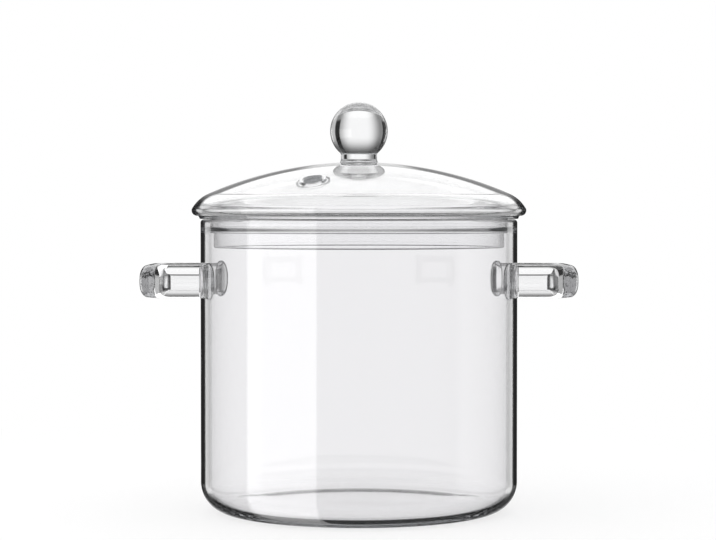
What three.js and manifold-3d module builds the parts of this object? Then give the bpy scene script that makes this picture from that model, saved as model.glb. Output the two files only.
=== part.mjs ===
// Glass soup pot: a blown cylinder with two fused loop handles, and a loose domed lid
// with a locating ring, a steam hole and a ball knob. Millimetres, +Z up, origin at the
// middle of the base's underside, handles along X, front towards -Y.
import * as THREE from 'three';
import { mergeVertices } from 'three/addons/utils/BufferGeometryUtils.js';
import Module from 'manifold-3d';

const wasm = await Module();
wasm.setup();

// Pot body
const BODY_RADIUS = 100;
const BODY_HEIGHT = 184.6;
const WALL = 3;
const BASE_THICKNESS = 4;
const BASE_CORNER_RADIUS = 19.3;
const RIM_THICKNESS = 4.4;
const RIM_DEPTH = 8.4;

// Lid: a shallow dome, a steep flank, a rounded tip and a thick edge that hangs clear of the rim
const DOME_RADIUS = 234.8;
const DOME_THICKNESS = 3.2;
const FLANK_RADIUS = 21.7;
const FLANK_TURN = THREE.MathUtils.degToRad(29);
const LID_OVERHANG = 5.6;
const LID_TIP_RADIUS = 1.6;
const LID_TIP_HEIGHT = 5.6;
const LID_EDGE_LIFT = 2;
const LID_EDGE_THICKNESS = 4.5;
const LID_EDGE_UNDER_RADIUS = 3.4;
const LID_INNER_BEND_RADIUS = 3;

// Locating ring under the lid: a flange that seats on the pot's rim, a collar and a thin skirt
const FLANGE_THICKNESS = 3.6;
const COLLAR_DEPTH = 8.4;
const COLLAR_SWELL = 0.8;
const RING_THICKNESS = 2;
const RING_DEPTH = 18.1;
const RING_CLEARANCE = 3.9;
const RING_BEND_PLAY = 0.9;

// Steam hole in the dome
const VENT_RADIUS = 5.2;
const VENT_LIP_RADIUS = 2.5;
const VENT_LIP_BITE = 0.2;
const VENT_INSET = 30.4;
const VENT_TURN = THREE.MathUtils.degToRad(21.4);

// Knob
const KNOB_RADIUS = 18.2;
const KNOB_LIFT = 19.6;
const NECK_RADIUS = 11.4;
const NECK_FOOT_RADIUS = 13.8;
const NECK_FOOT_HEIGHT = 3;

// Handles
const HANDLE_DROP = 38.4;
const HANDLE_REACH = 36.8;
const HANDLE_WIDTH = 84;
const BAR_HEIGHT = 20.2;
const BAR_THICKNESS = 12;
const BAR_SQUARENESS = 2.4;
const BEND_INNER_RADIUS = 8.4;
const FOOT_LENGTH = 5.5;
const FOOT_FLARE_WIDTH = 3.8;
const FOOT_FLARE_HEIGHT = 1.5;

// Clearances: a fused seam between two pieces, and the lid's seat on the rim
const SEAM = 0.3;
const SEAT_GAP = 0.3;

// Clear glass, with the faint cool grey of a thick section
const THIN_GLASS = 0xeef1f4;
const THICK_GLASS = 0xd9dee3;
const GLASS_ROUGHNESS = 0.04;
const GLASS_OPACITY = 0.35;

// Facets
const ROUND_STEPS = 56;
const ARC_STEP = THREE.MathUtils.degToRad(30);
const BASE_STEPS = 6;
const DOME_STEPS = 5;
const FLANK_STEPS = 3;
const KNOB_STEPS = 32;
const VENT_STEPS = 24;
const LIP_STEPS = 8;
const SECTION_STEPS = 16;
const LOOP_STEPS = 28;
const FOOT_STEPS = 5;
const BLEND_STEPS = 4;
const MERGE_TOLERANCE = 1e-4;

// Sizes that follow from the ones above
const RIM_INNER_RADIUS = BODY_RADIUS - RIM_THICKNESS;
const SEAT_HEIGHT = BODY_HEIGHT + SEAT_GAP;
const LID_RADIUS = BODY_RADIUS + LID_OVERHANG;
const LID_EDGE_HEIGHT = SEAT_HEIGHT + LID_EDGE_LIFT;
const LID_EDGE_INNER_RADIUS = LID_RADIUS - LID_EDGE_THICKNESS;
const TIP_R = LID_RADIUS - LID_TIP_RADIUS;
const TIP_Z = SEAT_HEIGHT + LID_TIP_HEIGHT;
const FLANK_R = TIP_R - (FLANK_RADIUS - LID_TIP_RADIUS) * Math.cos(FLANK_TURN);
const FLANK_Z = TIP_Z - (FLANK_RADIUS - LID_TIP_RADIUS) * Math.sin(FLANK_TURN);
const DOME_CENTRE = FLANK_Z - Math.sqrt((DOME_RADIUS - FLANK_RADIUS) ** 2 - FLANK_R ** 2);
const DOME_TURN = Math.atan2(FLANK_Z - DOME_CENTRE, FLANK_R);
const DOME_TOP = DOME_CENTRE + DOME_RADIUS;
const KNOB_CENTRE = DOME_TOP + KNOB_LIFT;
const HANDLE_CENTRE_HEIGHT = BODY_HEIGHT - HANDLE_DROP;
const ARM_OFFSET = (HANDLE_WIDTH - BAR_THICKNESS) / 2;
const BAR_CENTRE = BODY_RADIUS + HANDLE_REACH - BAR_THICKNESS / 2;
const FOOT_START = Math.sqrt(BODY_RADIUS ** 2 - ARM_OFFSET ** 2) + FOOT_LENGTH;

// Points of a circular arc, in (radius, height), both ends included.
function arc(centreR, centreZ, radius, from, to, steps = Math.ceil(Math.abs(to - from) / ARC_STEP)) {
  return Array.from({ length: steps + 1 }, (_, i) => {
    const angle = from + ((to - from) * i) / steps;
    return new THREE.Vector2(centreR + radius * Math.cos(angle), centreZ + radius * Math.sin(angle));
  });
}

// Points of a smooth S from one (radius, height) to another, upright at both ends.
function blend(fromR, fromZ, toR, toZ) {
  return Array.from({ length: BLEND_STEPS + 1 }, (_, i) => {
    const t = i / BLEND_STEPS;
    const r = THREE.MathUtils.lerp(fromR, toR, THREE.MathUtils.smoothstep(t, 0, 1));
    return new THREE.Vector2(r, THREE.MathUtils.lerp(fromZ, toZ, t));
  });
}

// A profile in (radius, height) turned about the Z axis.
function turned(profile, steps = ROUND_STEPS) {
  return new THREE.LatheGeometry(profile, steps).rotateX(Math.PI / 2);
}

// A closed geometry as a solid for joining and cutting.
function solidOf(geometry) {
  const bare = geometry.clone();
  bare.deleteAttribute('normal');
  bare.deleteAttribute('uv');
  const merged = mergeVertices(bare, MERGE_TOLERANCE);
  const corners = merged.index.array;
  const triangles = [];
  for (let i = 0; i < corners.length; i += 3) {
    const [a, b, c] = corners.slice(i, i + 3);
    if (a !== b && b !== c && c !== a) triangles.push(a, b, c);
  }
  return new wasm.Manifold(new wasm.Mesh({
    numProp: 3,
    vertProperties: new Float32Array(merged.attributes.position.array),
    triVerts: new Uint32Array(triangles),
  }));
}

// A solid back as a geometry.
function geometryOf(solid) {
  const mesh = solid.getMesh();
  const geometry = new THREE.BufferGeometry();
  geometry.setAttribute('position', new THREE.BufferAttribute(mesh.vertProperties, mesh.numProp));
  geometry.setIndex(new THREE.BufferAttribute(mesh.triVerts, 1));
  geometry.computeVertexNormals();
  return geometry;
}

// A named piece of glass.
function piece(name, geometry, tint) {
  const material = new THREE.MeshStandardMaterial({
    color: tint,
    roughness: GLASS_ROUGHNESS,
    metalness: 0,
    transparent: true,
    opacity: GLASS_OPACITY,
  });
  const mesh = new THREE.Mesh(geometry, material);
  mesh.name = name;
  return mesh;
}

// Cylinder with a flat base, a rounded lower corner and a thickened, fire-rounded rim.
function potBody() {
  const innerRadius = BODY_RADIUS - WALL;
  const outerCorner = BASE_CORNER_RADIUS;
  const innerCorner = outerCorner - BASE_THICKNESS;
  const crest = RIM_THICKNESS / 2;
  const crestHeight = BODY_HEIGHT - crest;
  const down = -Math.PI / 2;
  const profile = [
    new THREE.Vector2(0, 0),
    ...arc(BODY_RADIUS - outerCorner, outerCorner, outerCorner, down, 0, BASE_STEPS),
    ...arc(BODY_RADIUS - crest, crestHeight, crest, 0, Math.PI),
    ...blend(RIM_INNER_RADIUS, BODY_HEIGHT - RIM_DEPTH / 2, innerRadius, BODY_HEIGHT - RIM_DEPTH),
    ...arc(innerRadius - innerCorner, outerCorner, innerCorner, 0, down, BASE_STEPS),
    new THREE.Vector2(0, BASE_THICKNESS),
  ];
  return turned(profile);
}

// Spherical dome that steepens into the flank, with a thick rounded edge, without its steam hole.
function lidShell() {
  const innerDome = DOME_RADIUS - DOME_THICKNESS;
  const innerFlank = FLANK_RADIUS - DOME_THICKNESS;
  const bendR = LID_EDGE_INNER_RADIUS - LID_INNER_BEND_RADIUS;
  const bendZ = FLANK_Z + Math.sqrt((innerFlank - LID_INNER_BEND_RADIUS) ** 2 - (bendR - FLANK_R) ** 2);
  const bendTurn = Math.atan2(bendZ - FLANK_Z, bendR - FLANK_R);
  const underR = LID_RADIUS - LID_EDGE_UNDER_RADIUS;
  const underHeight = LID_EDGE_HEIGHT + LID_EDGE_UNDER_RADIUS;
  const profile = [
    ...arc(0, DOME_CENTRE, innerDome, Math.PI / 2, DOME_TURN, DOME_STEPS),
    ...arc(FLANK_R, FLANK_Z, innerFlank, DOME_TURN, bendTurn, FLANK_STEPS).slice(1),
    ...arc(bendR, bendZ, LID_INNER_BEND_RADIUS, bendTurn, 0).slice(1),
    new THREE.Vector2(LID_EDGE_INNER_RADIUS, LID_EDGE_HEIGHT),
    ...arc(underR, underHeight, LID_EDGE_UNDER_RADIUS, -Math.PI / 2, 0),
    ...arc(TIP_R, TIP_Z, LID_TIP_RADIUS, 0, FLANK_TURN),
    ...arc(FLANK_R, FLANK_Z, FLANK_RADIUS, FLANK_TURN, DOME_TURN, FLANK_STEPS).slice(1),
    ...arc(0, DOME_CENTRE, DOME_RADIUS, DOME_TURN, Math.PI / 2, DOME_STEPS).slice(1),
  ];
  return turned(profile);
}

// The shell with a fire-rounded lip round its steam hole, square to the dome's sheet.
function lidDome() {
  const ventR = LID_RADIUS - VENT_INSET;
  const middle = DOME_RADIUS - DOME_THICKNESS / 2;
  const tilt = Math.asin(ventR / middle);
  const lipCentre = VENT_RADIUS + VENT_LIP_RADIUS - VENT_LIP_BITE;
  const lip = new THREE.TorusGeometry(lipCentre, VENT_LIP_RADIUS, LIP_STEPS, VENT_STEPS);
  const hole = new THREE.CylinderGeometry(VENT_RADIUS, VENT_RADIUS, lipCentre, VENT_STEPS);
  hole.rotateX(Math.PI / 2);
  const place = (shape) => shape
    .translate(0, 0, middle)
    .rotateX(tilt)
    .rotateZ(-VENT_TURN)
    .translate(0, 0, DOME_CENTRE);
  return geometryOf(solidOf(lidShell()).add(solidOf(place(lip))).subtract(solidOf(place(hole))));
}

// Angle section: a flange that rests on the rim and reaches up inside the lid's edge, and a
// skirt that drops into the pot. A collar swells its upper end, where the two were fused.
function locatingRing() {
  const outerR = LID_EDGE_INNER_RADIUS - SEAM;
  const skirtR = RIM_INNER_RADIUS - RING_CLEARANCE;
  const collarR = skirtR + COLLAR_SWELL;
  const collarHeight = SEAT_HEIGHT - COLLAR_DEPTH + COLLAR_SWELL;
  const bend = RING_CLEARANCE - COLLAR_SWELL - RING_BEND_PLAY;
  const innerR = skirtR - RING_THICKNESS;
  const innerBend = bend + RING_THICKNESS;
  const top = SEAT_HEIGHT + FLANGE_THICKNESS;
  const edge = RING_THICKNESS / 2;
  const edgeHeight = SEAT_HEIGHT - RING_DEPTH + edge;
  const half = Math.PI / 2;
  const profile = [
    ...arc(collarR + bend, SEAT_HEIGHT - bend, bend, Math.PI, half),
    new THREE.Vector2(outerR, SEAT_HEIGHT),
    new THREE.Vector2(outerR, top),
    ...arc(innerR + innerBend, top - innerBend, innerBend, half, Math.PI),
    ...arc(skirtR - edge, edgeHeight, edge, Math.PI, 2 * Math.PI),
    ...arc(skirtR, collarHeight, COLLAR_SWELL, -half, 0),
    new THREE.Vector2(collarR, SEAT_HEIGHT - bend),
  ];
  return turned(profile);
}

// Waist between dome and ball, hollowed to both of them.
function knobNeck() {
  const seat = KNOB_RADIUS + SEAM;
  const base = DOME_RADIUS + SEAM;
  const footTurn = Math.acos(NECK_FOOT_RADIUS / base);
  const footHeight = DOME_CENTRE + base * Math.sin(footTurn);
  const seatTurn = -Math.acos(NECK_RADIUS / seat);
  const profile = [
    ...arc(0, DOME_CENTRE, base, Math.PI / 2, footTurn, BLEND_STEPS),
    ...blend(NECK_FOOT_RADIUS, footHeight, NECK_RADIUS, footHeight + NECK_FOOT_HEIGHT).slice(1),
    ...arc(0, KNOB_CENTRE, seat, seatTurn, -Math.PI / 2),
  ];
  return turned(profile, KNOB_STEPS);
}

function knobBall() {
  const ball = new THREE.SphereGeometry(KNOB_RADIUS, KNOB_STEPS, KNOB_STEPS / 2);
  return ball.rotateX(Math.PI / 2).translate(0, 0, KNOB_CENTRE);
}

// Upright section of the handle's bar, between an ellipse and a rectangle: x is its height,
// y its thickness.
function barSection() {
  const bow = (value) => Math.sign(value) * Math.abs(value) ** (2 / BAR_SQUARENESS);
  const points = Array.from({ length: SECTION_STEPS }, (_, i) => {
    const angle = (2 * Math.PI * i) / SECTION_STEPS;
    const x = (BAR_HEIGHT / 2) * bow(Math.cos(angle));
    return new THREE.Vector2(x, (BAR_THICKNESS / 2) * bow(Math.sin(angle)));
  });
  return new THREE.Shape(points);
}

// Centre line of the loop, seen from above: out along one arm, across, and back.
function loopPath() {
  const bend = BEND_INNER_RADIUS + BAR_THICKNESS / 2;
  const start = FOOT_START + SEAM;
  const turnX = BAR_CENTRE - bend;
  const turnY = ARM_OFFSET - bend;
  const handle = bend * (4 / 3) * Math.tan(Math.PI / 8);
  const at = (x, y) => new THREE.Vector3(x, y, 0);
  const path = new THREE.CurvePath();
  path.add(new THREE.LineCurve3(at(start, -ARM_OFFSET), at(turnX, -ARM_OFFSET)));
  path.add(new THREE.CubicBezierCurve3(
    at(turnX, -ARM_OFFSET),
    at(turnX + handle, -ARM_OFFSET),
    at(BAR_CENTRE, -turnY - handle),
    at(BAR_CENTRE, -turnY),
  ));
  path.add(new THREE.LineCurve3(at(BAR_CENTRE, -turnY), at(BAR_CENTRE, turnY)));
  path.add(new THREE.CubicBezierCurve3(
    at(BAR_CENTRE, turnY),
    at(BAR_CENTRE, turnY + handle),
    at(turnX + handle, ARM_OFFSET),
    at(turnX, ARM_OFFSET),
  ));
  path.add(new THREE.LineCurve3(at(turnX, ARM_OFFSET), at(start, ARM_OFFSET)));
  return path;
}

function handleLoop() {
  return new THREE.ExtrudeGeometry(barSection(), {
    steps: LOOP_STEPS,
    extrudePath: loopPath(),
  });
}

// Foot between the arm at -Y and the wall: the bar's section, carried inwards while it
// flares out. Its last ring is buried in the wall, and the wall's outside trims it.
function handleFoot() {
  const rings = FOOT_STEPS + 1;
  const foot = new THREE.ExtrudeGeometry(barSection(), {
    depth: rings,
    steps: rings,
    bevelEnabled: false,
  });
  const points = foot.attributes.position;
  for (let i = 0; i < points.count; i += 1) {
    const ring = Math.round(points.getZ(i));
    const t = Math.min(ring / FOOT_STEPS, 1);
    const flare = 1 - Math.sqrt(1 - t * t);
    const y = -ARM_OFFSET + points.getY(i) * (1 + (2 * FOOT_FLARE_WIDTH * flare) / BAR_THICKNESS);
    const z = points.getX(i) * (1 + (2 * FOOT_FLARE_HEIGHT * flare) / BAR_HEIGHT);
    const wall = Math.sqrt((BODY_RADIUS + SEAM) ** 2 - y * y);
    const buried = ring > FOOT_STEPS ? WALL : 0;
    points.setXYZ(i, THREE.MathUtils.lerp(FOOT_START, wall, t) - buried, y, z);
  }
  const outside = new THREE.CylinderGeometry(
    BODY_RADIUS + SEAM,
    BODY_RADIUS + SEAM,
    BODY_HEIGHT,
    ROUND_STEPS,
  );
  return geometryOf(solidOf(foot).subtract(solidOf(outside.rotateX(Math.PI / 2))));
}

// A handle stands at +X. Half a turn about Z makes the other one, and half a turn about
// the arm's direction makes the far foot from the near one.
function handle(side, turn, footNames) {
  const group = new THREE.Group();
  group.position.z = HANDLE_CENTRE_HEIGHT;
  group.rotation.z = turn;
  group.add(piece(`${side}_handle_loop`, handleLoop(), THICK_GLASS));
  footNames.forEach((name, i) => {
    const foot = piece(`${side}_handle_${name}_foot`, handleFoot(), THICK_GLASS);
    foot.rotation.x = i * Math.PI;
    group.add(foot);
  });
  return group;
}

const lid = new THREE.Group();
lid.add(piece('lid_dome', lidDome(), THIN_GLASS));
lid.add(piece('lid_locating_ring', locatingRing(), THIN_GLASS));
lid.add(piece('knob_neck', knobNeck(), THICK_GLASS));
lid.add(piece('knob_ball', knobBall(), THICK_GLASS));

const pot = new THREE.Group();
pot.add(piece('pot_body', potBody(), THIN_GLASS));
pot.add(handle('right', 0, ['front', 'rear']));
pot.add(handle('left', Math.PI, ['rear', 'front']));

const model = new THREE.Group();
model.add(pot, lid);

export default model;
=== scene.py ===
# %% [markdown]
# # A clear glass soup pot
# The pot is one material, clear borosilicate glass, worked hot into a few shapes: a blown
# cylinder, two bent bars for handles, a domed lid with a ring under it, and a ball for a
# knob. Glass has almost no colour of its own, so what makes it look real is exact, smooth
# walls with true thickness and a studio that gives those walls something to bend.

# %% Load the frame
import math
from types import SimpleNamespace

import bpy
import numpy as np
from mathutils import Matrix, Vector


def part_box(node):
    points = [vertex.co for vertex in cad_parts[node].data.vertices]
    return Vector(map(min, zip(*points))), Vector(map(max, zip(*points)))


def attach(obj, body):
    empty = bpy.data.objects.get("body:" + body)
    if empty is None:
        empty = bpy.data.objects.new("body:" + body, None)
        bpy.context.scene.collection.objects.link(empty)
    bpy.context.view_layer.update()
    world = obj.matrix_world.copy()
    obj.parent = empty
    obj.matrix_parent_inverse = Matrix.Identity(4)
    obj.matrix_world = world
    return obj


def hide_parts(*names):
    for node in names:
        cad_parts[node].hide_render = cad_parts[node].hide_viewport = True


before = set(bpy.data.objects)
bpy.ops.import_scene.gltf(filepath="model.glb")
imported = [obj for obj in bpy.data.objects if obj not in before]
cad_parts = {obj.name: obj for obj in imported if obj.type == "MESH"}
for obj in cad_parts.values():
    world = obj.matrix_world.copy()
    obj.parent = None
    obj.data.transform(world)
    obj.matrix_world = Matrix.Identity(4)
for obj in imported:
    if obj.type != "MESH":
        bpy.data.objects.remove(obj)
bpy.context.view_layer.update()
print("frame:", ", ".join(sorted(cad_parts)))

# %% [markdown]
# ## Sizes
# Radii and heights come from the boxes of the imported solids, so every surface lands where
# its solid is. Wall thicknesses and small radii can't be read from a box. They are written
# here once, in millimetres, the unit a glass worker would use.

# %% Sizes from the frame
MM = 0.001


def reach(node):
    """Radius, lowest height and highest height of a node that is round about the Z axis."""
    low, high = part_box(node)
    return high[0], low[2], high[2]


BODY_R, _, RIM_TOP = reach("pot_body")
LID_R, EDGE_LOW, DOME_TOP = reach("lid_dome")
RING_R, RING_LOW, RING_TOP = reach("lid_locating_ring")
KNOB_R, KNOB_LOW, KNOB_TOP = reach("knob_ball")
NECK_FOOT_R = reach("knob_neck")[0]
KNOB_Z = (KNOB_LOW + KNOB_TOP) / 2
print(f"body radius {BODY_R / MM:.1f} mm, rim at {RIM_TOP / MM:.1f} mm")
print(f"lid radius {LID_R / MM:.1f} mm, dome top at {DOME_TOP / MM:.1f} mm")
print(f"knob radius {KNOB_R / MM:.1f} mm, centre at {KNOB_Z / MM:.1f} mm")

# %% Walls and small radii
WALL = 3.0 * MM
BASE = 4.0 * MM
BASE_CORNER = 19.3 * MM
RIM_THICK = 4.4 * MM
RIM_DEPTH = 8.4 * MM
DOME_SHEET = 3.2 * MM
EDGE_LIFT = 2.0 * MM
SEAT = EDGE_LOW - EDGE_LIFT
SEAM = 0.3 * MM
FUSE = 0.8 * MM
AROUND = 240

# %% [markdown]
# ## Surfaces as grids
# Each piece is a grid of points worked out with whole arrays: one direction runs along a
# profile, the other goes round. A modifier such as Screw could turn a profile too, but a
# grid gives exact control of where the rows lie, and glass shows every uneven row.

# %% Lines of points
TINY = 1e-7


def arc(centre, radius, start, stop, steps):
    """Points centre + radius * (cos a, sin a), a going evenly from start to stop in degrees."""
    angle = np.radians(np.linspace(start, stop, steps + 1))
    return np.asarray(centre) + radius * np.column_stack([np.cos(angle), np.sin(angle)])


def straight(first, last, steps=24):
    """Points on the straight line from first to last, closer together towards both ends."""
    share = (1 - np.cos(np.linspace(0, np.pi, steps + 1))) / 2
    return np.asarray(first) + share[:, None] * (np.asarray(last) - np.asarray(first))


def chain(*parts):
    """The parts joined end to end, with a point that repeats its neighbour left out."""
    points = np.concatenate(parts)
    step = np.linalg.norm(np.diff(points, axis=0), axis=1)
    return points[np.concatenate([[True], step > TINY])]


def eased(share):
    """The smooth step 3 s^2 - 2 s^3: from 0 to 1, level at both ends."""
    return share * share * (3 - 2 * share)


def circles(radius, turn, x=0.0, y=0.0):
    """Points (x + r sin t, y - r cos t) of a circle, or of one circle for each row of radii."""
    return np.stack([x + radius * np.sin(turn), y - radius * np.cos(turn)], axis=-1)


def spun(profile, turn):
    """Rows (r sin t, -r cos t, z), one for each point (r, z) of the profile."""
    height = np.repeat(profile[:, 1:, None], len(turn), axis=1)
    return np.concatenate([circles(profile[:, :1], turn), height], axis=-1)


# %% Faces and pieces
def quads_of(rows, cols, loop_rows=False):
    """Corners (i, j), (i, j+1), (i+1, j+1), (i+1, j) of each cell; columns wrap round."""
    i = np.arange(rows if loop_rows else rows - 1)[:, None]
    j = np.arange(cols)[None, :]
    here, below = (i % rows) * cols, ((i + 1) % rows) * cols
    right = (j + 1) % cols
    return np.stack([here + j, here + right, below + right, below + j], axis=-1).reshape(-1, 4)


def fan_of(row_start, cols, pole, flip):
    """Triangles from each pair of neighbours in one row to a single pole point."""
    j = np.arange(cols)
    pair = [row_start + j, row_start + (j + 1) % cols]
    if flip:
        pair.reverse()
    return np.column_stack([*pair, np.full(cols, pole)])


def enclosed(points, faces):
    """Volume inside the faces, in cubic metres: the sum of signed tetrahedra from the origin."""
    total = 0.0
    for group in faces:
        for k in range(1, group.shape[1] - 1):
            a, b, c = points[group[:, 0]], points[group[:, k]], points[group[:, k + 1]]
            total += np.einsum("ij,ij->i", a, np.cross(b, c)).sum() / 6
    return total


def piece(name, points, faces, body, slot, stands_for):
    """A smooth mesh from grid points, faces out, riding on a body in place of CAD nodes."""
    volume = enclosed(points, faces)
    if volume < 0:
        faces = [group[:, ::-1] for group in faces]
    mesh = bpy.data.meshes.new(name)
    mesh.from_pydata(points.tolist(), [], [f for group in faces for f in group.tolist()])
    mesh.polygons.foreach_set("use_smooth", np.ones(len(mesh.polygons), dtype=bool))
    mesh.update()
    made = bpy.data.objects.new(name, mesh)
    bpy.context.scene.collection.objects.link(made)
    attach(made, body)
    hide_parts(*stands_for)
    print(f"{name}: {len(mesh.polygons)} faces, {abs(volume) * 1e6:.0f} ml of glass")
    return made


# %% Turned surface
def turned(profile, cols=AROUND):
    """Points (r, z) turned about Z to (r sin t, -r cos t, z). An end on the axis is one point."""
    turn = np.linspace(0, 2 * np.pi, cols, endpoint=False)
    on_axis = profile[:, 0] < TINY
    ring = profile[~on_axis]
    points = spun(ring, turn).reshape(-1, 3)
    closed = not on_axis.any()
    faces = [quads_of(len(ring), cols, loop_rows=closed)]
    if on_axis[0]:
        points = np.vstack([points, [0, 0, profile[0, 1]]])
        faces.append(fan_of(0, cols, len(points) - 1, flip=True))
    if on_axis[-1]:
        points = np.vstack([points, [0, 0, profile[-1, 1]]])
        faces.append(fan_of((len(ring) - 1) * cols, cols, len(points) - 1, flip=False))
    return points, faces


# %% [markdown]
# ## The body
# A straight cylinder blown in one gather: three millimetres of wall, a slightly thicker
# base, a wide round lower corner and a rim melted back into a soft bead. The bead swells
# inwards, so the outside stays one clean line. Rows crowd together where straight runs
# meet arcs, because a long face would spread the corner's normals over the whole wall.

# %% Body
SWELL_STEPS = 12


def body_profile():
    """Outline from the middle of the underside up the outside, over the rim, down the inside."""
    bead = RIM_THICK / 2
    crest = (BODY_R - bead, RIM_TOP - bead)
    inner = BODY_R - WALL
    corner = BASE_CORNER - BASE
    swell = np.linspace(0, 1, SWELL_STEPS + 1)
    rim_foot = np.column_stack([
        BODY_R - RIM_THICK + (RIM_THICK - WALL) * eased(swell),
        RIM_TOP - RIM_DEPTH / 2 - RIM_DEPTH / 2 * swell,
    ])
    return chain(
        straight((0, 0), (BODY_R - BASE_CORNER, 0)),
        arc((BODY_R - BASE_CORNER, BASE_CORNER), BASE_CORNER, -90, 0, steps=28),
        straight((BODY_R, BASE_CORNER), (BODY_R, crest[1]), steps=40),
        arc(crest, bead, 0, 180, steps=24),
        straight((BODY_R - RIM_THICK, crest[1]), rim_foot[0], steps=6),
        rim_foot,
        straight(rim_foot[-1], (inner, BASE_CORNER), steps=40),
        arc((inner - corner, BASE_CORNER), corner, 0, -90, steps=28),
        straight((inner - corner, BASE), (0, BASE)),
    )


pot = piece("pot_glass", *turned(body_profile()), "pot", "thin_glass", ["pot_body"])

# %% [markdown]
# ## The handles
# Each handle is a solid bar, bent to a C as seen from above and pressed on to the hot
# wall, where its ends spread into flared feet. A curve with a bevel could sweep the bar,
# but it couldn't spread on to a round wall. Here every row is the bar's rounded section:
# first carried along the C, then opened out until the last row lies inside the wall.

# %% Handle sizes
LOOP_LOW, LOOP_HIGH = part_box("right_handle_loop")
FOOT_LOW, FOOT_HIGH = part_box("right_handle_front_foot")
BAR_THICK = 12.0 * MM
BEND_INSIDE = 8.4 * MM
SQUARENESS = 2.4
SECTION_STEPS = 96
FLARE_ROWS = 22
BURIED_ROWS = 7
BEND_R = BEND_INSIDE + BAR_THICK / 2
BAR_TALL = LOOP_HIGH[2] - LOOP_LOW[2]
BAR_X = LOOP_HIGH[0] - BAR_THICK / 2
ARM_Y = LOOP_HIGH[1] - BAR_THICK / 2
FOOT_X = FOOT_HIGH[0]
HANDLE_Z = (LOOP_LOW[2] + LOOP_HIGH[2]) / 2
FLARE_WIDE = (FOOT_HIGH[1] - FOOT_LOW[1]) / BAR_THICK
FLARE_TALL = (FOOT_HIGH[2] - FOOT_LOW[2]) / BAR_TALL
print(f"bar {BAR_TALL / MM:.1f} x {BAR_THICK / MM:.1f} mm, arms {2 * ARM_Y / MM:.1f} mm apart")


# %% Handle bar
def bar_section():
    """Section between ellipse and rectangle, as (height, thickness).

    Half sizes times cos a and sin a, each taken to the power 2 / SQUARENESS.
    """
    angle = np.linspace(0, 2 * np.pi, SECTION_STEPS, endpoint=False)
    round_off = np.stack([np.cos(angle), np.sin(angle)], axis=-1)
    shape = np.sign(round_off) * np.abs(round_off) ** (2 / SQUARENESS)
    return shape * [BAR_TALL / 2, BAR_THICK / 2]


def loop_line(steps=40):
    """Centre line of the C as (x, y), with its direction: arm, bend, bar, bend, arm."""
    turn_x, turn_y = BAR_X - BEND_R, ARM_Y - BEND_R

    def headed(points, heading):
        return np.column_stack([points, np.broadcast_to(heading, points.shape)])

    line = chain(
        headed(straight((FOOT_X, -ARM_Y), (turn_x, -ARM_Y), steps=16), (1, 0)),
        headed(arc((turn_x, -turn_y), BEND_R, -90, 0, steps), arc((0, 0), 1, 0, 90, steps)),
        headed(straight((BAR_X, -turn_y), (BAR_X, turn_y), steps=30), (0, 1)),
        headed(arc((turn_x, turn_y), BEND_R, 0, 90, steps), arc((0, 0), 1, 90, 180, steps)),
        headed(straight((turn_x, ARM_Y), (FOOT_X, ARM_Y), steps=16), (-1, 0)),
    )
    return line[:, :2], line[:, 2:]


# %% Handle feet and surface
def foot_rows(section, near_wall):
    """The bar's section opened out on to the wall, and then closed inside it.

    With a from 0 to a quarter turn, the size is 1 + (flare - 1)(1 - cos a) and the way to
    the wall is sin a. The last rows lie inside the wall and shrink to the middle.
    """
    angle = np.linspace(0, np.pi / 2, FLARE_ROWS)
    buried = np.ones(BURIED_ROWS)
    closing = np.linspace(1, 0, BURIED_ROWS + 2)[1:-1]
    share = np.concatenate([np.sin(angle), buried])[:, None]
    spread = np.concatenate([1 - np.cos(angle), buried])[:, None]
    shrink = np.concatenate([np.ones(FLARE_ROWS), closing])[:, None]
    tall = section[:, 0] * (1 + (FLARE_TALL - 1) * spread) * shrink
    wide = section[:, 1] * (1 + (FLARE_WIDE - 1) * spread) * shrink
    y = near_wall * (ARM_Y - wide)
    wall_x = np.sqrt((BODY_R - FUSE) ** 2 - y ** 2)
    x = FOOT_X + (wall_x - FOOT_X) * share
    return np.stack([x, y, HANDLE_Z + tall], axis=-1)


def handle_surface(side):
    """Rows from the front foot round the C to the rear foot, closed by a point at each end."""
    section = bar_section()
    line, heading = loop_line()
    left = np.column_stack([-heading[:, 1], heading[:, 0]])
    plan = line[:, None, :] + section[None, :, 1:] * left[:, None, :]
    height = np.broadcast_to(HANDLE_Z + section[:, 0], plan.shape[:2])
    loop = np.concatenate([plan, height[..., None]], axis=-1)
    front, rear = foot_rows(section, -1), foot_rows(section, 1)
    rows = np.concatenate([front[::-1], loop[1:-1], rear])
    count, cols = rows.shape[:2]
    end_x = math.sqrt((BODY_R - FUSE) ** 2 - ARM_Y ** 2)
    ends = [[end_x, -ARM_Y, HANDLE_Z], [end_x, ARM_Y, HANDLE_Z]]
    points = np.vstack([rows.reshape(-1, 3), ends])
    points[:, :2] *= side
    last = count * cols
    faces = [
        quads_of(count, cols),
        fan_of(0, cols, last, flip=True),
        fan_of((count - 1) * cols, cols, last + 1, flip=False),
    ]
    return points, faces


handles = []
for word, side in (("right", 1), ("left", -1)):
    nodes = [f"{word}_handle_{part}" for part in ("loop", "front_foot", "rear_foot")]
    points, faces = handle_surface(side)
    handles.append(piece(f"{word}_handle_glass", points, faces, "pot", "thick_glass", nodes))

# %% [markdown]
# ## The lid
# The dome is a shallow cap of a sphere with a tight shoulder and a thick rounded edge. Its
# steam hole sits off to one side, melted round so that the lip is thicker than the sheet.
# A boolean would cut the hole but leave a sharp, badly shaded edge. Instead the grid's
# rows are circles that grow from the hole to the rim, so the hole is one end of the grid:
# over the top, round the edge, back underneath and up through the lip.

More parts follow.
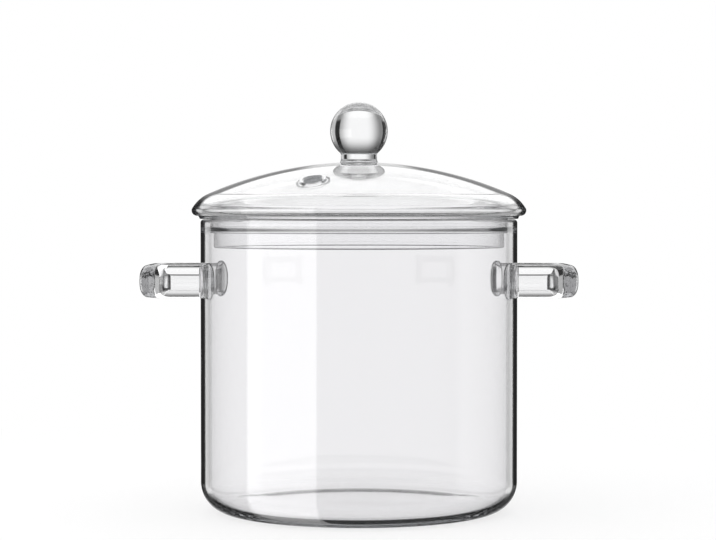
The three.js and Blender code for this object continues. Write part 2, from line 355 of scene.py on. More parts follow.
# %% Lid sizes
LID_EDGE = 4.5 * MM
LID_EDGE_UNDER = 3.4 * MM
LID_BEND = 3.0 * MM
TIP_R = 1.6 * MM
TIP_HEIGHT = 5.6 * MM
FLANK_R = 21.7 * MM
FLANK_TURN = 29.0
VENT_HOLE = 5.2 * MM
VENT_LIP = 2.5 * MM
VENT_FADE = 2.6 * MM
VENT_INSET = 30.4 * MM
VENT_TURN = math.radians(21.4)
SHEET_ROWS = 110
SHEET_CROWDING = 1.6
LIP_STEPS = 18
TIP = np.array([LID_R - TIP_R, SEAT + TIP_HEIGHT])
FLANK = arc(TIP, TIP_R - FLANK_R, FLANK_TURN, FLANK_TURN, steps=0)[0]
DROP = FLANK[1] - DOME_TOP
DOME_R = (FLANK_R ** 2 - DROP ** 2 - FLANK[0] ** 2) / (2 * (DROP + FLANK_R))
DOME_Z = DOME_TOP - DOME_R
DOME_TURN = math.degrees(math.atan2(FLANK[1] - DOME_Z, FLANK[0]))
VENT_R = LID_R - VENT_INSET
VENT_X, VENT_Y = -VENT_R * math.sin(VENT_TURN), -VENT_R * math.cos(VENT_TURN)
print(f"dome radius {DOME_R / MM:.1f} mm, steam hole at ({VENT_X / MM:.1f}, {VENT_Y / MM:.1f}) mm")


# %% Lid edge
def edge_profile():
    """Outline from the dome's top to its underside, round the edge.

    Outer flank, tip, side, rounded underside, inner face, inner bend, inner flank.
    """
    inner_flank = FLANK_R - DOME_SHEET
    bend_r = LID_R - LID_EDGE - LID_BEND
    bend_z = FLANK[1] + math.sqrt((inner_flank - LID_BEND) ** 2 - (bend_r - FLANK[0]) ** 2)
    bend_turn = math.degrees(math.atan2(bend_z - FLANK[1], bend_r - FLANK[0]))
    under = (LID_R - LID_EDGE_UNDER, EDGE_LOW + LID_EDGE_UNDER)
    under_in = LID_EDGE - LID_EDGE_UNDER
    return chain(
        arc(FLANK, FLANK_R, DOME_TURN, FLANK_TURN, steps=24),
        arc(TIP, TIP_R, FLANK_TURN, 0, steps=10),
        straight(TIP + [TIP_R, 0], (LID_R, under[1]), steps=6),
        arc(under, LID_EDGE_UNDER, 0, -90, steps=14),
        arc((under[0], EDGE_LOW + under_in), under_in, -90, -180, steps=8),
        straight((LID_R - LID_EDGE, EDGE_LOW + under_in), (LID_R - LID_EDGE, bend_z), steps=10),
        arc((bend_r, bend_z), LID_BEND, 0, bend_turn, steps=10),
        arc(FLANK, inner_flank, bend_turn, DOME_TURN, steps=20),
    )


# %% Lid surface
def sheet_rows(rim_radius, shares, turn):
    """Plan circles blended from the hole's lip to the rim: (1 - s) * hole + s * rim."""
    hole = circles(VENT_HOLE + VENT_LIP, turn, VENT_X, VENT_Y)
    rim = circles(rim_radius, turn)
    return (1 - shares)[:, None, None] * hole + shares[:, None, None] * rim


def lift(plan, offset):
    """Plan points raised to the dome's middle sphere, then moved by offset along its normal."""
    middle = DOME_R - DOME_SHEET / 2
    height = np.sqrt(middle ** 2 - (plan ** 2).sum(axis=-1))
    normal = np.concatenate([plan, height[..., None]], axis=-1) / middle
    return normal * (middle + offset[..., None]) + np.array([0, 0, DOME_Z])


def half_sheet(plan):
    """Half the sheet's thickness: the lip's at the hole, the plain sheet's beyond VENT_FADE."""
    away = np.hypot(plan[..., 0] - VENT_X, plan[..., 1] - VENT_Y) - (VENT_HOLE + VENT_LIP)
    share = np.clip(away / VENT_FADE, 0, 1)
    return VENT_LIP + (DOME_SHEET / 2 - VENT_LIP) * eased(share)


def lip_rows(turn):
    """The lip's half circle through the hole, from underneath to the top."""
    bend = np.radians(np.linspace(-90, 90, LIP_STEPS + 1)[1:-1])[:, None]
    plan = circles(VENT_HOLE + VENT_LIP - VENT_LIP * np.cos(bend), turn, VENT_X, VENT_Y)
    return lift(plan, np.broadcast_to(VENT_LIP * np.sin(bend), plan.shape[:2]))


def lid_surface():
    """Rows: hole to rim on top, the edge's outline, rim to hole underneath, and the lip."""
    turn = np.linspace(0, 2 * np.pi, AROUND, endpoint=False)
    edge = edge_profile()
    shares = np.linspace(0, 1, SHEET_ROWS) ** SHEET_CROWDING
    middle = DOME_R - DOME_SHEET / 2
    top_plan = sheet_rows(edge[0, 0] * middle / DOME_R, shares, turn)
    under_plan = sheet_rows(edge[-1, 0] * middle / (DOME_R - DOME_SHEET), shares, turn)
    top = lift(top_plan, half_sheet(top_plan))
    under = lift(under_plan, -half_sheet(under_plan))[::-1]
    grid = np.concatenate([top, spun(edge, turn)[1:-1], under, lip_rows(turn)])
    return grid.reshape(-1, 3), [quads_of(len(grid), AROUND, loop_rows=True)]


lid = piece("lid_dome_glass", *lid_surface(), "lid", "thin_glass", ["lid_dome"])

# %% [markdown]
# ## The ring under the lid
# A ring of angle section is fused under the dome: its flange rests on the pot's rim and
# its skirt drops inside, so the lid can't slide off. Where flange and skirt were melted
# together the glass swells into a collar, whose lower edge shows through the wall as a
# fine line. It is one closed outline turned about the axis.

# %% Ring sizes
FLANGE_REACH = 9.1 * MM
FLANGE_ROUND = 1.0 * MM
RING_SHEET = 2.0 * MM
RING_BEND = 2.2 * MM
COLLAR_DEEP = 8.4 * MM
COLLAR_SWELL = 0.8 * MM


# %% Locating ring
def ring_profile():
    """Closed outline: fillet, flange, its end in the lid's edge, inner bend, skirt, collar."""
    skirt_r = RING_R - FLANGE_REACH
    collar = (skirt_r + COLLAR_SWELL, SEAT - COLLAR_DEEP + COLLAR_SWELL)
    fillet = (collar[0] + RING_BEND, SEAT - RING_BEND)
    inner_bend = RING_BEND + RING_SHEET
    inner_r = skirt_r - RING_SHEET
    edge = RING_SHEET / 2
    low = (skirt_r - edge, RING_LOW + edge)
    end = RING_R + SEAM + FUSE
    return chain(
        arc(fillet, RING_BEND, 180, 90, steps=14),
        straight((fillet[0], SEAT), (RING_R - FLANGE_ROUND, SEAT), steps=12),
        arc((RING_R - FLANGE_ROUND, SEAT + FLANGE_ROUND), FLANGE_ROUND, -90, 0, steps=10),
        straight((RING_R, SEAT + FLANGE_ROUND), (end, EDGE_LOW + FUSE), steps=6),
        straight((end, EDGE_LOW + FUSE), (end, RING_TOP), steps=6),
        straight((end, RING_TOP), (inner_r + inner_bend, RING_TOP), steps=12),
        arc((inner_r + inner_bend, RING_TOP - inner_bend), inner_bend, 90, 180, steps=16),
        straight((inner_r, RING_TOP - inner_bend), (inner_r, low[1]), steps=14),
        arc(low, edge, 180, 360, steps=20),
        straight((skirt_r, low[1]), (skirt_r, collar[1] - COLLAR_SWELL), steps=14),
        arc((skirt_r, collar[1]), COLLAR_SWELL, -90, 0, steps=12),
        straight(collar, (collar[0], fillet[1]), steps=6)[:-1],
    )


points, faces = turned(ring_profile())
ring = piece("locating_ring_glass", points, faces, "lid", "thin_glass", ["lid_locating_ring"])

# %% [markdown]
# ## The knob
# A solid ball on a short waist, fused to the top of the dome. Ball and waist run into each
# other in a soft groove, and the waist spreads into a foot that sinks a little into the
# dome, so that no film of air shows between them. A solid ball is a strong lens: it turns
# the room upside down, which is why its shape has to be exact.

# %% Knob
NECK_R = 11.4 * MM
GROOVE = 1.6 * MM
FOOT_TALL = 3.4 * MM
FOOT_STEPS = 12
KNOB_AROUND = 160


def knob_profile():
    """From the top of the ball down its side, round the groove, down the waist, out and under."""
    waist = NECK_R + GROOVE
    groove_z = KNOB_Z - math.sqrt((KNOB_R + GROOVE) ** 2 - waist ** 2)
    meet = math.degrees(math.atan2(groove_z - KNOB_Z, waist))
    foot_z = DOME_Z + math.sqrt((DOME_R - FUSE) ** 2 - NECK_FOOT_R ** 2)
    spread = NECK_FOOT_R - NECK_R
    flare = np.radians(np.linspace(180, 270, FOOT_STEPS + 1))
    foot = np.column_stack([
        NECK_FOOT_R + spread * np.cos(flare),
        foot_z + FOOT_TALL + FOOT_TALL * np.sin(flare),
    ])
    under = np.linspace(NECK_FOOT_R, 0, FOOT_STEPS)
    return chain(
        arc((0, KNOB_Z), KNOB_R, 90, meet, steps=72),
        arc((waist, groove_z), GROOVE, meet + 180, 180, steps=10),
        straight((NECK_R, groove_z), foot[0], steps=4),
        foot,
        np.column_stack([under, DOME_Z + np.sqrt((DOME_R - FUSE) ** 2 - under ** 2)]),
    )


points, faces = turned(knob_profile(), KNOB_AROUND)
knob = piece("knob_glass", points, faces, "lid", "thick_glass", ["knob_ball", "knob_neck"])

# %% [markdown]
# ## The glass
# Clear glass is a Principled shader with full transmission and the index of borosilicate.
# Two things keep it from looking computed: blown walls are never quite even, and used
# glass is never quite clean. Both are node groups, so that every glass takes its own
# amount: a slow unevenness for the bump, and a faint haze of handling for the roughness.


# %% Node helpers
def add(tree, kind, **settings):
    """A new node of a kind. Each setting goes to the input of that name, or to a property."""
    node = tree.nodes.new(kind)
    for name, value in settings.items():
        if name in node.inputs:
            node.inputs[name].default_value = value
        else:
            setattr(node, name, value)
    return node


def feed(tree, socket, value):
    """A number set on an input, or the output of another node linked to it."""
    if isinstance(value, (int, float)):
        socket.default_value = value
    else:
        tree.links.new(value, socket)


def math_node(tree, operation, *values):
    """A Math node, fed with numbers or sockets."""
    node = add(tree, "ShaderNodeMath", operation=operation)
    for socket, value in zip(node.inputs, values):
        feed(tree, socket, value)
    return node.outputs["Value"]


def fold(tree, operation, first, *others):
    """One operation carried through all values in turn, as in ((a + b) + c) + d."""
    for value in others:
        first = math_node(tree, operation, first, value)
    return first


def ramp(tree, value, low, high, start=0.0, stop=1.0):
    """Value carried smoothly from start to stop as it goes from low to high."""
    node = add(tree, "ShaderNodeMapRange", interpolation_type="SMOOTHSTEP")
    given = {"Value": value, "From Min": low, "From Max": high, "To Min": start, "To Max": stop}
    for name, level in given.items():
        feed(tree, node.inputs[name], level)
    return node.outputs["Result"]


def new_group(name, inputs, outputs):
    """An empty shader node group with float or vector sockets, and its two end nodes."""
    tree = bpy.data.node_groups.new(name, "ShaderNodeTree")
    for label, kind, value in inputs:
        socket = tree.interface.new_socket(label, in_out="INPUT", socket_type=kind)
        if value is not None:
            socket.default_value = value
    for label, kind in outputs:
        tree.interface.new_socket(label, in_out="OUTPUT", socket_type=kind)
    return tree, tree.nodes.new("NodeGroupInput"), tree.nodes.new("NodeGroupOutput")


# %% Blown unevenness
TURNING_STRETCH = (1.0, 1.0, 2.2)


def make_unevenness():
    """Height of slow swells in the wall: smooth noise, stretched along the blower's turning."""
    tree, given, result = new_group(
        "blown_unevenness",
        [("Vector", "NodeSocketVector", None), ("Waves per metre", "NodeSocketFloat", 18.0)],
        [("Height", "NodeSocketFloat")],
    )
    stretch = add(tree, "ShaderNodeMapping")
    stretch.inputs["Scale"].default_value = TURNING_STRETCH
    noise = add(tree, "ShaderNodeTexNoise", Detail=1.0, Roughness=0.4)
    tree.links.new(given.outputs["Vector"], stretch.inputs["Vector"])
    tree.links.new(stretch.outputs["Vector"], noise.inputs["Vector"])
    tree.links.new(given.outputs["Waves per metre"], noise.inputs["Scale"])
    tree.links.new(noise.outputs["Fac"], result.inputs["Height"])
    return tree


UNEVENNESS = make_unevenness()
print("group:", UNEVENNESS.name)

# %% Handling haze
PATCHES_PER_METRE = 26.0
WIPES_PER_METRE = (160.0, 160.0, 24.0)
PATCH_EDGE = (0.52, 0.72)
STREAK_EDGE = (0.45, 0.75)


def make_haze():
    """Roughness of handled glass: a clean level, raised in soft patches and fine wiped streaks."""
    tree, given, result = new_group(
        "handling_haze",
        [
            ("Vector", "NodeSocketVector", None),
            ("Clean", "NodeSocketFloat", 0.0),
            ("Hazy", "NodeSocketFloat", 0.03),
        ],
        [("Roughness", "NodeSocketFloat")],
    )
    patches = add(tree, "ShaderNodeTexNoise", Scale=PATCHES_PER_METRE, Detail=2.0)
    wipe = add(tree, "ShaderNodeMapping")
    wipe.inputs["Scale"].default_value = WIPES_PER_METRE
    streaks = add(tree, "ShaderNodeTexNoise", Scale=1.0, Detail=3.0)
    tree.links.new(given.outputs["Vector"], patches.inputs["Vector"])
    tree.links.new(given.outputs["Vector"], wipe.inputs["Vector"])
    tree.links.new(wipe.outputs["Vector"], streaks.inputs["Vector"])
    patched = ramp(tree, patches.outputs["Fac"], *PATCH_EDGE)
    streaked = ramp(tree, streaks.outputs["Fac"], *STREAK_EDGE)
    share = fold(tree, "MULTIPLY", patched, streaked)
    level = ramp(tree, share, 0.0, 1.0, given.outputs["Clean"], given.outputs["Hazy"])
    tree.links.new(level, result.inputs["Roughness"])
    return tree


HAZE = make_haze()
print("group:", HAZE.name)

# %% Glass material
GLASS_INDEX = 1.472
DEPTH_TINT = (0.66, 0.68, 0.7, 1.0)
SHADOW_TINT = (0.93, 0.94, 0.95, 1.0)


def glass(name, tint, waves, swell, hazy, density):
    """Clear glass: transmission with slow swells and haze, a tint by depth, a light shadow."""
    material = bpy.data.materials.new(name)
    material.use_nodes = True
    tree = material.node_tree
    tree.nodes.clear()
    where = add(tree, "ShaderNodeTexCoord").outputs["Object"]

    swells = add(tree, "ShaderNodeGroup", node_tree=UNEVENNESS)
    swells.inputs["Waves per metre"].default_value = waves
    bump = add(tree, "ShaderNodeBump", Strength=1.0, Distance=swell)
    haze = add(tree, "ShaderNodeGroup", node_tree=HAZE)
    haze.inputs["Hazy"].default_value = hazy
    tree.links.new(where, swells.inputs["Vector"])
    tree.links.new(where, haze.inputs["Vector"])
    tree.links.new(swells.outputs["Height"], bump.inputs["Height"])

    shader = add(tree, "ShaderNodeBsdfPrincipled", IOR=GLASS_INDEX)
    shader.inputs["Base Color"].default_value = tint
    shader.inputs["Transmission Weight"].default_value = 1.0
    tree.links.new(haze.outputs["Roughness"], shader.inputs["Roughness"])
    tree.links.new(bump.outputs["Normal"], shader.inputs["Normal"])

    shade = add(tree, "ShaderNodeBsdfTransparent", Color=SHADOW_TINT)
    light = add(tree, "ShaderNodeLightPath")
    mix = add(tree, "ShaderNodeMixShader")
    tree.links.new(light.outputs["Is Shadow Ray"], mix.inputs["Fac"])
    tree.links.new(shader.outputs["BSDF"], mix.inputs[1])
    tree.links.new(shade.outputs["BSDF"], mix.inputs[2])

    depth = add(tree, "ShaderNodeVolumeAbsorption", Color=DEPTH_TINT, Density=density)
    out = add(tree, "ShaderNodeOutputMaterial")
    tree.links.new(mix.outputs["Shader"], out.inputs["Surface"])
    tree.links.new(depth.outputs["Volume"], out.inputs["Volume"])
    return material


# %% Three glasses
WALL_TINT = (0.945, 0.942, 0.95, 1.0)
CLEAR_TINT = (0.985, 0.985, 0.988, 1.0)
SHEET = {"waves": 16.0, "swell": 0.05 * MM, "hazy": 0.035, "density": 6.0}
SOLID = {"waves": 30.0, "swell": 0.008 * MM, "hazy": 0.03, "density": 3.0}
DRESSED = (
    (glass("wall_glass", WALL_TINT, **SHEET), [pot]),
    (glass("lid_glass", CLEAR_TINT, **SHEET), [lid, ring]),
    (glass("solid_glass", CLEAR_TINT, **SOLID), [*handles, knob]),
)
for material, pieces in DRESSED:
    for made in pieces:
        made.data.materials.append(material)
        print(made.name, "is of", material.name)

# %% [markdown]
# ## The studio
# Glass is lit by what it bends into view. A photographer puts white paper behind the pot
# and keeps the rest of the room dim: where the view passes straight through, the glass
# looks clear, and where the wall's edge throws the view back into the room, it turns dark
# and draws the outline. Sheets and lamps built around the pot would do this too, but each
# would also show in all the other reflections. Here the studio is painted on the world, by
# compass angle and by height over the horizon. Light Path tells how a view came there: the
# glossy depth counts how often it was thrown back, and the transmission depth how many
# surfaces of glass it has passed, two for every sheet.

# %% View of the world
NO_SHEET, ONE_SHEET, TWO_SHEETS = 0.5, 2.5, 4.5
ONE_THROW = 1.5


def start_world(name):
    """An empty world, with the angles of a view that reaches it and the glass it went through.

    Compass is the angle from straight back, off is compass without its sign, rise the angle
    over the horizon, and lean the turn of a wall that throws a straight view that way.
    """
    world = bpy.data.worlds.new(name)
    world.use_nodes = True
    tree = world.node_tree
    tree.nodes.clear()
    aim = add(tree, "ShaderNodeSeparateXYZ")
    tree.links.new(add(tree, "ShaderNodeTexCoord").outputs["Generated"], aim.inputs["Vector"])
    x, y, z = (aim.outputs[axis] for axis in "XYZ")
    compass = math_node(tree, "ARCTAN2", x, y)
    path = add(tree, "ShaderNodeLightPath").outputs
    passed, throws = path["Transmission Depth"], path["Glossy Depth"]
    return SimpleNamespace(
        world=world,
        tree=tree,
        path=path,
        compass=compass,
        off=math_node(tree, "ABSOLUTE", compass),
        rise=math_node(tree, "ARCSINE", z),
        lean=math_node(tree, "ARCTAN2", x, math_node(tree, "SUBTRACT", 1.0, y)),
        surface=math_node(tree, "LESS_THAN", passed, NO_SHEET),
        one_sheet=math_node(tree, "LESS_THAN", passed, ONE_SHEET),
        two_sheets=math_node(tree, "LESS_THAN", passed, TWO_SHEETS),
        thrown=math_node(tree, "MINIMUM", throws, 1.0),
        many=math_node(tree, "GREATER_THAN", throws, ONE_THROW),
    )


def angles(*degrees):
    """Angles in degrees, as a list in radians, the unit of the nodes."""
    return np.radians(degrees).tolist()


def window(tree, value, low, high, soft):
    """1 between low and high, falling to 0 over soft on either side."""
    opening = ramp(tree, value, low - soft, low)
    closing = ramp(tree, value, high, high + soft, 1.0, 0.0)
    return fold(tree, "MULTIPLY", opening, closing)


def pick(tree, flag, no, yes):
    """No where the flag is 0, yes where it is 1, and a smooth mix between."""
    return ramp(tree, flag, 0.0, 1.0, no, yes)


# %% [markdown]
# ### Lights in a dim room
# The outside of the glass mirrors the room around the pot. The room is nearly dark, so that
# the wall stays clear, and a few lights give the glass its form: a ceiling that whitens the
# dome, the glow of the paper over the horizon, a sheen from both sides, the paper under
# the pot, and a tall softbox at the front left, which leaves a straight bright band on the wall.

# %% Ceiling and glow
OVERHEAD = angles(14.0, 17.0)
OVERHEAD_LEVEL = 1.5
OVERHEAD_SIDES = angles(25.0, 36.0)
OVERHEAD_EDGE = math.radians(13.0)
ZENITH = angles(40.0, 60.0)
GLOW_RISE = angles(0.5, 2.0)
GLOW_FALL = angles(2.0, 10.0)
GLOW_WEDGE = (0.18, 0.3)
GLOW_SIDES = (0.6, 1.6)
GLOW_LEVEL = 0.9
GLOW_EDGE = 0.33


def overhead_light(view):
    """A ceiling at the back, wider to a view off the outside, that closes round the zenith."""
    tree = view.tree
    across = pick(tree, view.surface, *OVERHEAD_SIDES)
    across = fold(tree, "ADD", across, ramp(tree, view.rise, *ZENITH, 0.0, math.pi))
    beside = fold(tree, "SUBTRACT", view.off, across)
    behind = ramp(tree, beside, 0.0, OVERHEAD_EDGE, 1.0, 0.0)
    return fold(tree, "MULTIPLY", ramp(tree, view.rise, *OVERHEAD, 0.0, OVERHEAD_LEVEL), behind)


def glow_light(view):
    """A wedge that opens upwards, off / rise: full in its middle, fading with height beside it."""
    tree = view.tree
    slant = fold(tree, "DIVIDE", view.off, fold(tree, "MAXIMUM", view.rise, GLOW_RISE[1]))
    beside = ramp(tree, view.rise, *GLOW_FALL, GLOW_LEVEL, GLOW_EDGE)
    wedge = ramp(tree, slant, *GLOW_WEDGE, GLOW_LEVEL, beside)
    sides = ramp(tree, slant, *GLOW_SIDES, 1.0, 0.0)
    return fold(tree, "MULTIPLY", wedge, sides, ramp(tree, view.rise, *GLOW_RISE))


# %% Side lights, ground and softbox
SOFT_EDGE, THIN_EDGE, HARD_EDGE = angles(8.0, 3.0, 0.6)
SIDES = angles(34.0, 100.0)
SIDES_RISE = angles(-14.0, 50.0)
SIDES_LEVEL = 0.45
STRIPS = angles(33.0, 43.0)
STRIPS_RISE = angles(-12.0, 3.0)
STRIPS_LEVEL = 1.5
GROUND = angles(-20.0, -12.0)
GROUND_SIDES = angles(8.0, 20.0)
GROUND_LEVEL = 0.4
SOFTBOX = angles(-43.5, -15.5)
SOFTBOX_TOP = angles(6.0, 7.0)
SOFTBOX_FOOT = angles(20.0, 90.0)
SOFTBOX_FOOT_LEVEL = 0.12
SOFTBOX_LEVEL = 2.0


def side_light(view, across, upright, soft, level):
    """A light on both sides, between two angles off straight back and two over the horizon."""
    tree = view.tree
    beside = window(tree, view.off, *across, soft)
    return fold(tree, "MULTIPLY", beside, window(tree, view.rise, *upright, soft), level)


def ground_light(view):
    """A low band under the horizon, straight back."""
    tree = view.tree
    middle = ramp(tree, view.off, *GROUND_SIDES, GROUND_LEVEL, 0.0)
    return fold(tree, "MULTIPLY", window(tree, view.rise, *GROUND, THIN_EDGE), middle)


def softbox_light(view):
    """A tall window by the lean of the wall, cut off at its top and dim at its foot."""
    tree = view.tree
    band = window(tree, view.lean, *SOFTBOX, HARD_EDGE)
    top = ramp(tree, view.rise, *SOFTBOX_TOP, 1.0, 0.0)
    foot = ramp(tree, view.off, *SOFTBOX_FOOT, SOFTBOX_FOOT_LEVEL, 1.0)
    return fold(tree, "MULTIPLY", band, top, foot, SOFTBOX_LEVEL)


# %% The whole room
ROOM = 0.02


def room_light(view):
    """Ceiling, glow or plain dimness, whichever is brightest, and the other lights added."""
    tree = view.tree
    strips = side_light(view, STRIPS, STRIPS_RISE, THIN_EDGE, STRIPS_LEVEL)
    return fold(
        tree, "ADD",
        fold(tree, "MAXIMUM", overhead_light(view), glow_light(view), ROOM),
        ground_light(view),
        side_light(view, SIDES, SIDES_RISE, SOFT_EDGE, SIDES_LEVEL),
        fold(tree, "MULTIPLY", strips, view.surface),
        softbox_light(view),
    )


# %% [markdown]
# ### Paper and flags
# Seen straight through, the glass shows the paper behind the pot. Beside the pot the paper
# ends and dark flags stand: the round edges of wall, handle and knob bend the view out
# there and so get their dark lines. Where the paper ends depends on how many sheets the
# view has passed, because knob, handles, wall and lid all bend it by different amounts.

# %% Paper behind the pot
PAPER_LEVEL = 1.05
PAPER_SIDES = angles(10.0, 10.5, 20.0), angles(36.0, 13.0, 40.0)
PAPER_EDGE = (0.25, 0.06, 0.35)
PAPER_END = angles(52.5, 55.5)
PAPER_BEYOND = (0.35, 0.7, 0.7)
PAPER_UP = angles(8.0, 16.0, 9.0), angles(36.0, 19.0, 20.0)
PAPER_UP_EDGE = 0.15
PAPER_DOWN = angles(-60.0, -52.0, -38.0), angles(-30.0, -34.0, -26.0)
PAPER_DOWN_EDGE = (0.05, 0.05, 0.25)
FLAGS_SHIFT = math.radians(10.0)
FLAGS = angles(-62.0, -43.0), angles(30.0, 42.0)
FLAGS_RISE = angles(-12.0, 40.0)


def by_sheets(view, values):
    """The first, second or third value, for a view through one sheet, two sheets or more."""
    several = pick(view.tree, view.two_sheets, values[2], values[1])
    return pick(view.tree, view.one_sheet, several, values[0])


def paper_light(view):
    """The paper's level from its middle to its sides and ends, less the flags, its top and foot."""
    tree = view.tree

    def limits(pair):
        return [by_sheets(view, ends) for ends in pair]

    middle = ramp(tree, view.off, *limits(PAPER_SIDES), PAPER_LEVEL, by_sheets(view, PAPER_EDGE))
    aside = math_node(tree, "ABSOLUTE", fold(tree, "ADD", view.compass, FLAGS_SHIFT))
    beyond = ramp(tree, aside, *PAPER_END, 0.0, by_sheets(view, PAPER_BEYOND))
    flags = [window(tree, view.compass, *flag, HARD_EDGE) for flag in FLAGS]
    upright = window(tree, view.rise, *FLAGS_RISE, SOFT_EDGE)
    flagged = fold(tree, "MULTIPLY", fold(tree, "MAXIMUM", *flags), upright)
    return fold(
        tree, "MULTIPLY",
        fold(tree, "ADD", middle, beyond),
        pick(tree, flagged, 1.0, ROOM),
        ramp(tree, view.rise, *limits(PAPER_UP), 1.0, PAPER_UP_EDGE),
        ramp(tree, view.rise, *limits(PAPER_DOWN), by_sheets(view, PAPER_DOWN_EDGE), 1.0),
    )


# %% [markdown]
# ### Views thrown back inside
# A view can also be thrown back behind the first sheet, by the far wall or the underside of
# the lid. It sees the paper once more straight back, and an even wall beside it. In thick
# corners it is thrown back many times and ends anywhere: there an even grey would do, but
# two dark bands in it draw the lines of the lid's edge and of the pot's lower corner.

# %% Inside the glass
MIRROR_RISE = angles(-2.2, -0.7)
MIRROR_SIDES = angles(14.0, 22.0)
INSIDE_LEVEL = 0.8
FRONT = angles(60.0, 120.0)
FRONT_RISE = angles(-12.0, 12.0)
FRONT_LEVEL = 1.0
MANY_RISE = angles(15.0, 40.0)
MANY_LEVEL = 0.42
MANY_ABOVE = 0.9
MANY_BELOW = 0.35
SHADE_RISE = angles(-8.0, -0.2)
SHADE_SIDES = angles(25.0, 30.0)
BAND_RISE = angles(4.5, 21.0)


def inside_light(view, paper):
    """The paper over the horizon straight back, an even wall beside it, a low band in front."""
    tree = view.tree
    mirrored = fold(tree, "MULTIPLY", paper, ramp(tree, view.rise, *MIRROR_RISE, ROOM, 1.0))
    front = fold(tree, "MULTIPLY", window(tree, view.rise, *FRONT_RISE, SOFT_EDGE), FRONT_LEVEL)
    inside = ramp(tree, view.off, *MIRROR_SIDES, mirrored, INSIDE_LEVEL)
    return ramp(tree, view.off, *FRONT, inside, front)


def often_light(view):
    """Even grey near the horizon, other levels high and low, and the two dark bands."""
    tree = view.tree
    above = math_node(tree, "GREATER_THAN", view.rise, 0.0)
    steep = pick(tree, above, MANY_BELOW, MANY_ABOVE)
    level = ramp(tree, math_node(tree, "ABSOLUTE", view.rise), *MANY_RISE, MANY_LEVEL, steep)
    middle = ramp(tree, view.off, *SHADE_SIDES, 1.0, 0.0)
    low_band = fold(tree, "MULTIPLY", window(tree, view.rise, *SHADE_RISE, HARD_EDGE), middle)
    high_band = window(tree, view.rise, *BAND_RISE, HARD_EDGE)
    return pick(tree, fold(tree, "MAXIMUM", low_band, high_band), level, ROOM)


# %% World
WHITE = (1.0, 1.0, 1.0, 1.0)
FILL = 1.05


def make_world():
    """White to the camera, an even fill to the floor, and the studio to a view in the glass."""
    view = start_world("studio")
    tree, path = view.tree, view.path
    paper = paper_light(view)
    once = pick(tree, view.one_sheet, inside_light(view, paper), room_light(view))
    thrown = pick(tree, view.many, once, often_light(view))
    seen = pick(tree, view.thrown, paper, thrown)
    in_glass = fold(tree, "MAXIMUM", path["Is Transmission Ray"], path["Is Glossy Ray"])
    level = fold(tree, "MULTIPLY", in_glass, seen)
    level = pick(tree, path["Diffuse Depth"], level, FILL)
    level = fold(tree, "MAXIMUM", path["Is Camera Ray"], level)
    sky = add(tree, "ShaderNodeBackground", Color=WHITE)
    tree.links.new(level, sky.inputs["Strength"])
    out = add(tree, "ShaderNodeOutputWorld")
    tree.links.new(sky.outputs["Background"], out.inputs["Surface"])
    return view.world


bpy.context.scene.world = make_world()
print("world:", bpy.context.scene.world.name)

# %% [markdown]
# ## The floor
# The pot stands on pale paper. Near the pot the paper is lit and keeps a soft shadow, and
# further off it is plain white, so that no edge shows. Where a view looks steeply down on the
# paper, its white glow is dimmed: painted shade for the pot's shadow close around and under
# its base. A view through the glass meets it only after two sheets and not at a grazing angle.
# Any other view passes on to the lower half of the world, which keeps the dark lines at the
# base clean.

# %% Floor sheet
FLOOR_RADIUS = 30.0
FLOOR_EDGES = 96
FLOOR_DROP = 0.2 * MM


def floor_sheet():
    """A flat disc of many edges, just under the pot."""
    turn = np.linspace(0, 2 * np.pi, FLOOR_EDGES, endpoint=False)
    edge = np.column_stack([
        FLOOR_RADIUS * np.cos(turn),
        FLOOR_RADIUS * np.sin(turn),
        np.full(FLOOR_EDGES, -FLOOR_DROP),
    ])
    mesh = bpy.data.meshes.new("floor")
    mesh.from_pydata(edge.tolist(), [], [list(range(FLOOR_EDGES))])
    sheet = bpy.data.objects.new("floor", mesh)
    bpy.context.scene.collection.objects.link(sheet)
    return sheet


floor = floor_sheet()
print("floor:", len(floor.data.vertices), "points")

# %% Floor paper
PAPER = 0.93
LIT_REACH = (0.2, 0.6)
PAPER_SHARE = (0.65, 1.0)
GRAZING = angles(12.0, 8.5)
# Painted shade: between these rises the paper's white glow dims to the level below.
PAINTED_SHADE_RISE = angles(45.0, 25.0)
PAINTED_SHADE_LEVEL = 0.15
SHEETS_SEEN = 3.5


def facing_of(rises):
    """Layer Weight's Facing for a view at each angle over the floor: 1 - sin."""
    return [1.0 - math.sin(rise) for rise in rises]


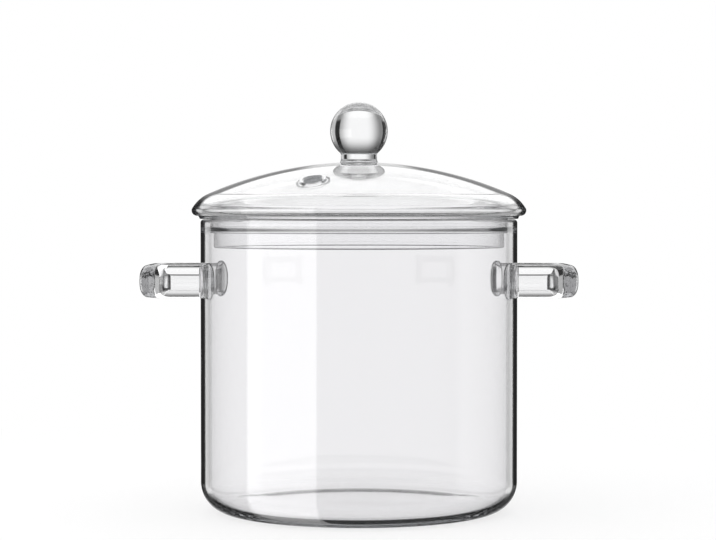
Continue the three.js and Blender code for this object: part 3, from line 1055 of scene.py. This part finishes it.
def floor_paper():
    """Lit paper near the pot, white paper further off, open to most views through the glass.

    The white glow dims to a painted shade where a view looks steeply down on the paper.
    """
    material = bpy.data.materials.new("floor_paper")
    material.use_nodes = True
    tree = material.node_tree
    tree.nodes.clear()
    distance = add(tree, "ShaderNodeVectorMath", operation="LENGTH")
    tree.links.new(add(tree, "ShaderNodeTexCoord").outputs["Object"], distance.inputs[0])
    path = add(tree, "ShaderNodeLightPath").outputs
    facing = add(tree, "ShaderNodeLayerWeight", Blend=0.5).outputs["Facing"]
    in_glass = fold(tree, "MAXIMUM", path["Is Transmission Ray"], path["Is Glossy Ray"])

    lit = add(tree, "ShaderNodeBsdfDiffuse", Color=(PAPER, PAPER, PAPER, 1.0))
    white_and_shade = add(tree, "ShaderNodeEmission", Color=WHITE)
    # Painted shade: the white glow dims where a view looks steeply down on the paper, in place of
    # the pot's shadow close around and under its base.
    painted_shade = ramp(tree, facing, *facing_of(PAINTED_SHADE_RISE), PAINTED_SHADE_LEVEL, 1.0)
    tree.links.new(painted_shade, white_and_shade.inputs["Strength"])
    share = ramp(tree, distance.outputs["Value"], *LIT_REACH, *PAPER_SHARE)
    paper = add(tree, "ShaderNodeMixShader")
    tree.links.new(fold(tree, "MAXIMUM", share, in_glass), paper.inputs["Fac"])
    tree.links.new(lit.outputs["BSDF"], paper.inputs[1])
    tree.links.new(white_and_shade.outputs["Emission"], paper.inputs[2])

    two_sheets = math_node(tree, "COMPARE", path["Transmission Depth"], SHEETS_SEEN, 1.0)
    straight_on = fold(tree, "SUBTRACT", 1.0, fold(tree, "MINIMUM", path["Glossy Depth"], 1.0))
    meets = fold(tree, "MULTIPLY", two_sheets, straight_on)
    grazing = ramp(tree, facing, *facing_of(GRAZING))
    misses = fold(tree, "MAXIMUM", grazing, fold(tree, "SUBTRACT", 1.0, meets))
    beyond = add(tree, "ShaderNodeBsdfTransparent")
    either = add(tree, "ShaderNodeMixShader")
    tree.links.new(fold(tree, "MULTIPLY", in_glass, misses), either.inputs["Fac"])
    tree.links.new(paper.outputs["Shader"], either.inputs[1])
    tree.links.new(beyond.outputs["BSDF"], either.inputs[2])
    out = add(tree, "ShaderNodeOutputMaterial")
    tree.links.new(either.outputs["Shader"], out.inputs["Surface"])
    return material


floor.data.materials.append(floor_paper())
print("floor material:", floor.data.materials[0].name)


# %% Softbox
def softbox(name, compass, distance, height, size, watts):
    """A square area lamp at a compass angle from the front, left positive, aimed at the pot."""
    lamp = bpy.data.lights.new(name, "AREA")
    lamp.shape = "RECTANGLE"
    lamp.size, lamp.size_y, lamp.energy = size, size, watts
    holder = bpy.data.objects.new(name, lamp)
    bpy.context.scene.collection.objects.link(holder)
    angle = math.radians(compass)
    holder.location = (-distance * math.sin(angle), -distance * math.cos(angle), height)
    drop = math.atan2(height - RIM_TOP / 2, distance)
    holder.rotation_euler = (math.pi / 2 - drop, 0.0, -angle)
    holder.visible_camera = False
    holder.visible_glossy = False
    holder.visible_transmission = False
    return holder


lamp = softbox("left_softbox", compass=59.0, distance=1.4, height=0.9, size=1.2, watts=6.0)
print("lamp:", lamp.name, tuple(round(v, 2) for v in lamp.location))

# %% [markdown]
# ## The camera
# The photograph is taken from about a metre and a half away, at the height of the lid's
# edge, with a long lens: the lid's edge shows as a straight line and the base as a shallow
# curve. The camera tips down a little, so that the pot sits low in the frame.

# %% Camera
CAMERA_DISTANCE = 1.43
CAMERA_HEIGHT = 0.188
CAMERA_ASIDE = -0.6 * MM
CAMERA_TILT = math.radians(1.42)
LENS = 113.6
SENSOR = 36.0
camera = bpy.data.cameras.new("camera")
camera.lens = LENS
camera.sensor_width = SENSOR
viewer = bpy.data.objects.new("camera", camera)
bpy.context.scene.collection.objects.link(viewer)
viewer.location = (CAMERA_ASIDE, -CAMERA_DISTANCE, CAMERA_HEIGHT)
viewer.rotation_euler = (math.pi / 2 - CAMERA_TILT, 0.0, 0.0)
bpy.context.scene.camera = viewer
print("camera at", tuple(round(v, 3) for v in viewer.location))

# %% Render settings for glass
BOUNCES = 64
scene = bpy.context.scene
scene.view_settings.view_transform = "Standard"
scene.cycles.max_bounces = BOUNCES
scene.cycles.glossy_bounces = BOUNCES
scene.cycles.transmission_bounces = BOUNCES
scene.cycles.transparent_max_bounces = BOUNCES
print("bounces:", BOUNCES)
